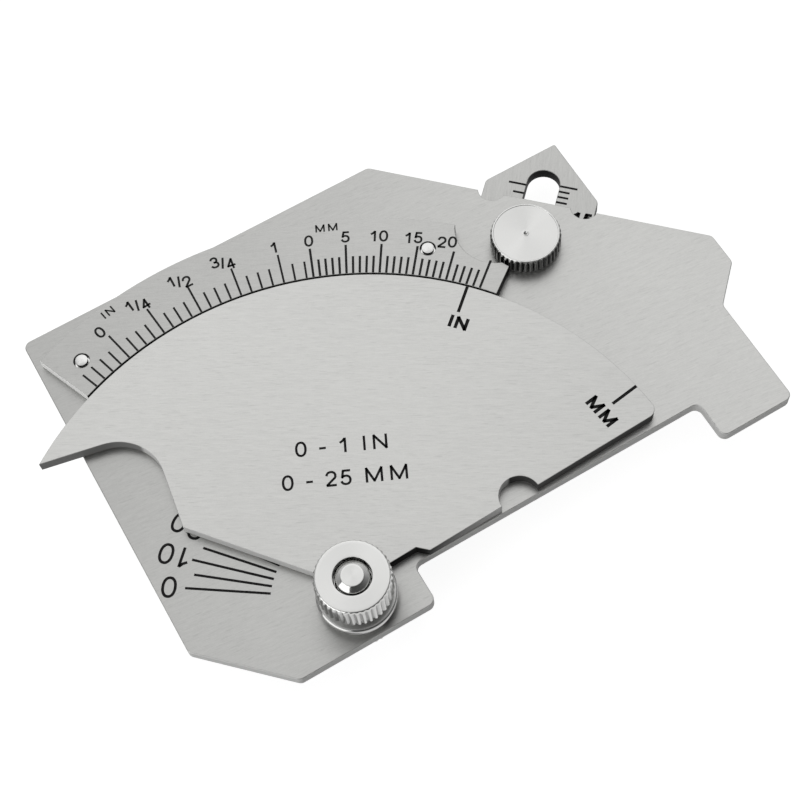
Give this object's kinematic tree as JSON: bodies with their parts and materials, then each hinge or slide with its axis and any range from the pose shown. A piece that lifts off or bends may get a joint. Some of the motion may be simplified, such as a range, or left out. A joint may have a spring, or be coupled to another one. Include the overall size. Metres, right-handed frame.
{
  "type": "weld gauge",
  "caption": "Flat steel bridge weld gauge with a swinging cam pointer under an arc scale, a pointed 45 degree throat slide and knurled thumb fasteners that clamp both.",
  "frame": {"origin": "on the left foot's bearing face, under the cam pivot, at the middle of the plate's thickness", "axes": "+X along the base line from the left foot to the right foot, +Y up the plate away from the base line, +Z out of the front face, so the gauge lies on its back"},
  "size_m": [0.1052, 0.0678, 0.0181],
  "materials": {
    "plate_steel": "satin brushed stainless sheet with black etched graduations",
    "bright_steel": "bright turned and knurled steel"
  },
  "bodies": {
    "frame": {"body_plate": "plate_steel", "scale_plate": "plate_steel", "scale_rivet_left": "bright_steel", "scale_rivet_right": "bright_steel", "cam_pivot_screw": "bright_steel", "slide_guide_pin": "bright_steel"},
    "cam": {"cam_plate": "plate_steel"},
    "cam_washer": {"cam_nut_washer": "bright_steel"},
    "cam_nut": {"cam_thumb_nut": "bright_steel"},
    "slide": {"slide_plate": "plate_steel"},
    "slide_screw": {"slide_thumb_screw": "bright_steel"},
    "slide_nut": {"slide_washer": "bright_steel", "slide_clamp_nut": "bright_steel"}
  },
  "joints": [
    {"name": "cam_swing", "type": "hinge", "parent": "frame", "child": "cam", "pos_m": [0, 0.006, 0], "axis": [0, 0, 1], "range_deg": [-42, 68]},
    {"name": "slide_travel", "type": "slide", "parent": "frame", "child": "slide", "axis": [0.7071, 0.7071, 0], "range_m": [-0.0122, 0.0152]},
    {"name": "cam_nut_lift", "type": "slide", "parent": "frame", "child": "cam_washer", "axis": [0, 0, 1], "range_m": [0, 0.0004]},
    {"name": "cam_nut_turn", "type": "hinge", "parent": "cam_washer", "child": "cam_nut", "pos_m": [0, 0.006, 0], "axis": [0, 0, 1], "range_deg": [0, 180]},
    {"name": "slide_screw_turn", "type": "hinge", "parent": "frame", "child": "slide_screw", "pos_m": [0.05015, 0.04275, 0], "axis": [0, 0, 1], "range_deg": [0, 180]},
    {"name": "slide_nut_lift", "type": "slide", "parent": "frame", "child": "slide_nut", "axis": [0, 0, -1], "range_m": [0, 0.0004]}
  ],
  "couplings": [
    {"joint": "cam_nut_turn", "follows": "cam_nut_lift", "rad_per_m": 7854},
    {"joint": "slide_screw_turn", "follows": "slide_nut_lift", "rad_per_m": 7854}
  ]
}
